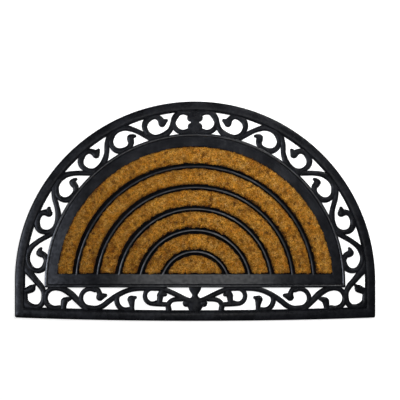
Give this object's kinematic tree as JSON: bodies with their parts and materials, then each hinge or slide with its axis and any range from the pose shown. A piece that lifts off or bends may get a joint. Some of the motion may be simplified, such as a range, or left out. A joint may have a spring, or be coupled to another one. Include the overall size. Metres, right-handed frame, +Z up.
{
  "type": "half round coir doormat",
  "caption": "Half round doormat: a moulded black rubber frame with scrollwork cut through it, holding a ribbed half round field of bristly coir for wiping shoes.",
  "frame": {"origin": "on the underside, in the middle of the mat's width and depth", "axes": "+Z up out of the wiping face, +X along the straight edge, +Y towards the round side"},
  "size_m": [0.75, 0.4569, 0.0105],
  "materials": {
    "rubber": "black moulded rubber with a soft satin sheen",
    "coir": "short, dense, golden brown coconut fibre pile"
  },
  "bodies": {
    "root": {"rubber_frame": "rubber", "coir_half_disc": "coir", "coir_band_1": "coir", "coir_band_2": "coir", "coir_band_3": "coir", "coir_band_4": "coir", "coir_band_5": "coir"}
  },
  "joints": []
}
